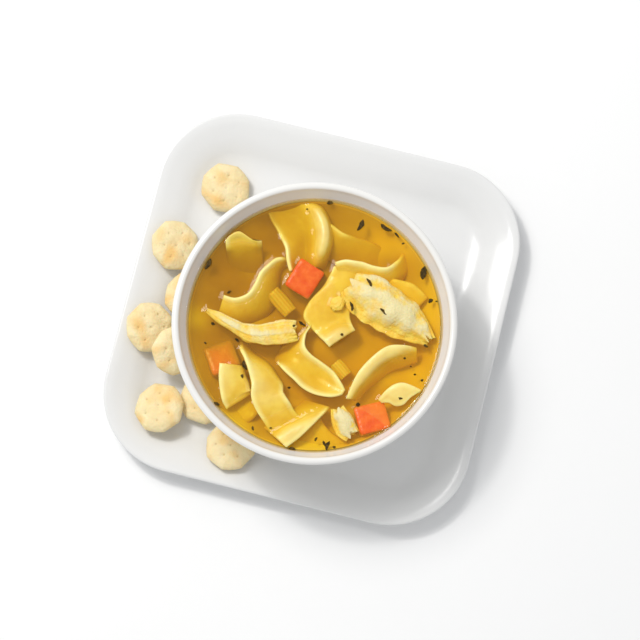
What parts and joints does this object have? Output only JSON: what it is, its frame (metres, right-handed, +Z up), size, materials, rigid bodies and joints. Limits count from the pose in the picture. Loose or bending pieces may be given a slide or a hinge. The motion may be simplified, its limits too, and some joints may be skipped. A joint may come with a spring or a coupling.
{
  "type": "chicken noodle soup",
  "caption": "Chicken noodle soup in a round white bowl, standing on a rounded-square white plate with oyster crackers.",
  "frame": {"origin": "centre of the plate's foot, on the table", "axes": "+Z up, +X and +Y along the plate's sides; the soup is seen from -Y"},
  "size_m": [0.189, 0.189, 0.0679],
  "materials": {
    "plate_glaze": "gloss",
    "bowl_glaze": "gloss",
    "broth": "gloss",
    "noodle": "satin",
    "chicken": "satin",
    "carrot": "satin",
    "cracker": "matte"
  },
  "bodies": {
    "root": {"plate": "plate_glaze", "bowl": "bowl_glaze", "broth": "broth", "noodle_arch": "noodle", "noodle_tip": "noodle", "noodle_wave": "noodle", "noodle_ruffle": "noodle", "noodle_centre": "noodle", "noodle_left": "noodle", "noodle_long": "noodle", "noodle_flap": "noodle", "noodle_trough": "noodle", "noodle_arc": "noodle", "noodle_fold": "noodle", "chicken_chunk": "chicken", "chicken_bit": "chicken", "chicken_shred": "chicken", "chicken_flake": "chicken", "carrot_cube": "carrot", "carrot_wedge": "carrot", "cracker_1": "cracker", "cracker_2": "cracker", "cracker_3": "cracker", "cracker_4": "cracker", "cracker_5": "cracker", "cracker_6": "cracker", "cracker_7": "cracker", "cracker_8": "cracker"}
  },
  "joints": []
}
